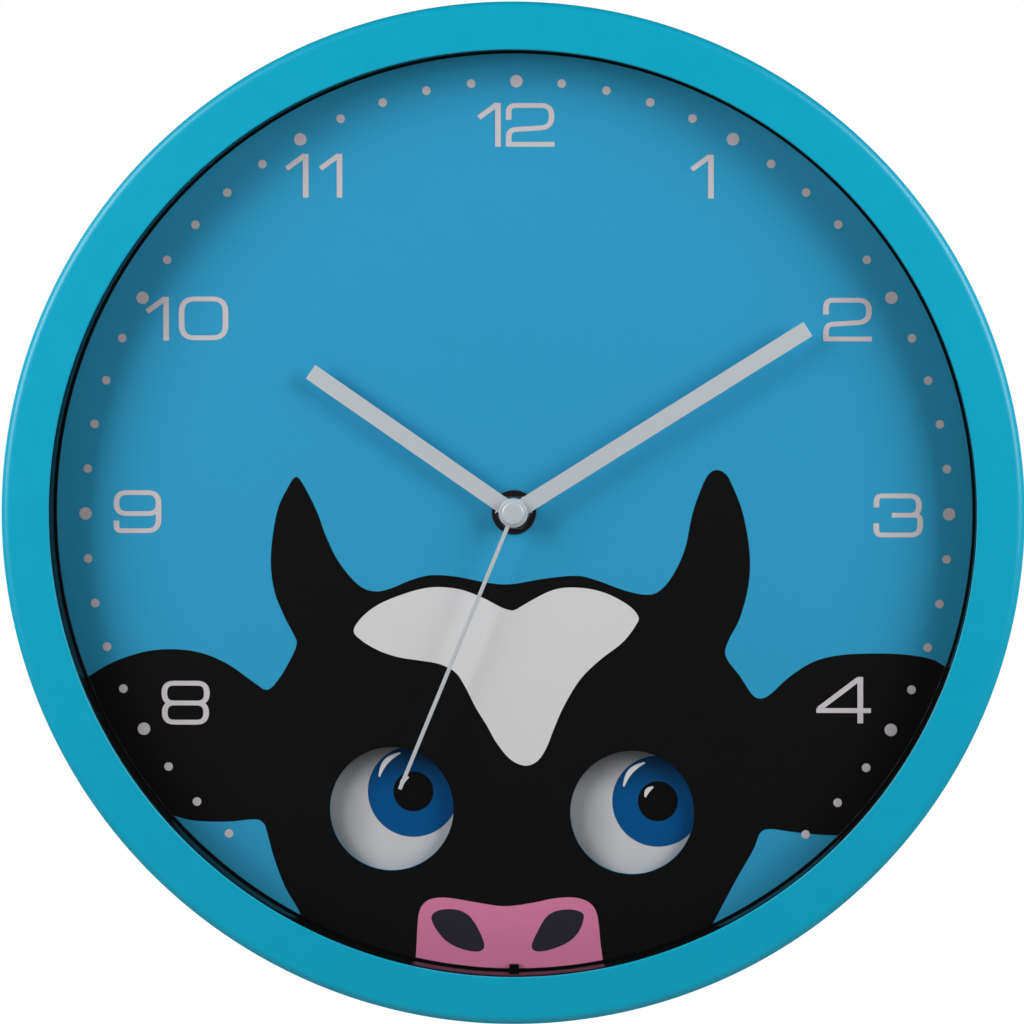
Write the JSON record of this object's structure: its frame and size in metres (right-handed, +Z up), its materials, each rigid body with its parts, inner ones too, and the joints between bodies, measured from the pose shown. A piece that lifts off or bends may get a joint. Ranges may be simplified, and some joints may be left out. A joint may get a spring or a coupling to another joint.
{
  "type": "wall clock",
  "caption": "Round quartz wall clock: blue metal case, printed cow-face dial, moving eye plate behind cut-outs, geared hands, rear cover with keyhole hanger.",
  "frame": {"origin": "where the wall screw bears: the top end of the hanger plate's keyhole slot, on the wall plane", "axes": "+Y from the dial into the wall, +Z up, +X to the right of someone reading the dial"},
  "size_m": [0.3, 0.045, 0.3],
  "materials": {
    "blue_lacquer": "gloss lacquer",
    "rubber": "matt",
    "glass": "polished, clear",
    "gloss_black": "gloss",
    "printed_dial": "printed, fine grain",
    "black_plastic": "satin moulded",
    "steel": "zinc plated",
    "brass": "turned",
    "dark_steel": "blackened",
    "chrome": "polished",
    "hand_aluminium": "satin",
    "wheel_plastic": "moulded",
    "white_plastic": "satin",
    "copper": "enamelled winding",
    "board": "solder mask",
    "battery_sleeve": "printed sleeve"
  },
  "bodies": {
    "clock_body": {"case": "blue_lacquer", "lens_gasket": "rubber", "mounting_gasket": "rubber", "wall_bumper_1": "rubber", "wall_bumper_2": "rubber", "lens": "glass", "spacer_ring": "gloss_black", "dial": "printed_dial", "rear_cover": "black_plastic", "movement_front": "black_plastic", "movement_back": "black_plastic", "case_screw_1": "steel", "case_screw_2": "steel", "case_screw_3": "steel", "hanger_plate": "steel", "hanger_rivet_1": "steel", "hanger_rivet_2": "steel", "stator": "steel", "quartz_crystal": "steel", "battery_contact_minus": "steel", "battery_contact_plus": "steel", "eye_bridge": "steel", "pivot_clip_left": "steel", "pivot_clip_right": "steel", "pivot_clip_middle": "steel", "threaded_bushing": "brass", "dial_washer": "dark_steel", "bushing_nut": "chrome", "stepper_coil": "copper", "drive_coil": "copper", "circuit_board": "board", "battery": "battery_sleeve"},
    "hour_arbor": {"hour_hand": "hand_aluminium", "hour_wheel": "wheel_plastic"},
    "minute_arbor": {"minute_hand": "hand_aluminium", "cannon_pinion": "brass"},
    "second_arbor": {"second_hand": "hand_aluminium", "second_wheel": "wheel_plastic"},
    "motion_wheel_body": {"motion_wheel": "wheel_plastic"},
    "knob_body": {"setting_knob": "white_plastic"},
    "minute_wheel_body": {"minute_wheel": "wheel_plastic"},
    "third_wheel_body": {"third_wheel": "wheel_plastic"},
    "intermediate_wheel_body": {"intermediate_wheel": "wheel_plastic"},
    "rotor_body": {"rotor": "dark_steel"},
    "left_link_body": {"eye_link_left": "steel"},
    "right_link_body": {"eye_link_right": "steel"},
    "drive_arm_body": {"drive_arm": "white_plastic", "drive_magnet": "dark_steel"},
    "eye_plate_body": {"eye_plate": "white_plastic"}
  },
  "joints": [
    {"name": "minute_spin", "type": "hinge", "parent": "clock_body", "child": "minute_arbor", "pos_m": [0, -0.0364, -0.105], "axis": [0, 1, 0], "continuous": true},
    {"name": "hour_spin", "type": "hinge", "parent": "clock_body", "child": "hour_arbor", "pos_m": [0, -0.0348, -0.105], "axis": [0, 1, 0], "continuous": true},
    {"name": "motion_wheel_spin", "type": "hinge", "parent": "clock_body", "child": "motion_wheel_body", "pos_m": [0.006, -0.0232, -0.09461], "axis": [0, 1, 0], "continuous": true},
    {"name": "knob_spin", "type": "hinge", "parent": "clock_body", "child": "knob_body", "pos_m": [0.01275, -0.0232, -0.08292], "axis": [0, 1, 0], "continuous": true},
    {"name": "second_spin", "type": "hinge", "parent": "clock_body", "child": "second_arbor", "pos_m": [0, -0.038, -0.105], "axis": [0, 1, 0], "continuous": true},
    {"name": "third_wheel_spin", "type": "hinge", "parent": "clock_body", "child": "third_wheel_body", "pos_m": [0.0102, -0.0192, -0.105], "axis": [0, 1, 0], "continuous": true},
    {"name": "minute_wheel_spin", "type": "hinge", "parent": "clock_body", "child": "minute_wheel_body", "pos_m": [0, -0.0215, -0.105], "axis": [0, 1, 0], "continuous": true},
    {"name": "intermediate_wheel_spin", "type": "hinge", "parent": "clock_body", "child": "intermediate_wheel_body", "pos_m": [-0.00935, -0.0159, -0.0996], "axis": [0, 1, 0], "continuous": true},
    {"name": "rotor_spin", "type": "hinge", "parent": "clock_body", "child": "rotor_body", "pos_m": [-0.00935, -0.0139, -0.0926], "axis": [0, 1, 0], "continuous": true},
    {"name": "left_link_swing", "type": "hinge", "parent": "clock_body", "child": "left_link_body", "pos_m": [-0.03, -0.0257, -0.15], "axis": [0, 1, 0], "range_deg": [0, 20.4]},
    {"name": "right_link_swing", "type": "hinge", "parent": "clock_body", "child": "right_link_body", "pos_m": [0.03, -0.0257, -0.15], "axis": [0, 1, 0], "range_deg": [0, 20.4]},
    {"name": "drive_arm_swing", "type": "hinge", "parent": "clock_body", "child": "drive_arm_body", "pos_m": [0, -0.0237, -0.15], "axis": [0, 1, 0], "range_deg": [0, 20.4]},
    {"name": "eye_plate_level", "type": "hinge", "parent": "left_link_body", "child": "eye_plate_body", "pos_m": [-0.02292, -0.0257, -0.18937], "axis": [0, 1, 0], "range_deg": [-20.4, 0]}
  ],
  "couplings": [
    {"joint": "hour_spin", "follows": "minute_spin", "ratio": 0.083333},
    {"joint": "motion_wheel_spin", "follows": "minute_spin", "ratio": -0.33333},
    {"joint": "knob_spin", "follows": "minute_spin", "ratio": 0.66667},
    {"joint": "third_wheel_spin", "follows": "second_spin", "ratio": -0.125},
    {"joint": "minute_wheel_spin", "follows": "second_spin", "ratio": 0.016667},
    {"joint": "intermediate_wheel_spin", "follows": "second_spin", "ratio": -5},
    {"joint": "rotor_spin", "follows": "second_spin", "ratio": 30},
    {"joint": "right_link_swing", "follows": "left_link_swing", "ratio": 1},
    {"joint": "drive_arm_swing", "follows": "left_link_swing", "ratio": 1},
    {"joint": "eye_plate_level", "follows": "left_link_swing", "ratio": -1}
  ]
}
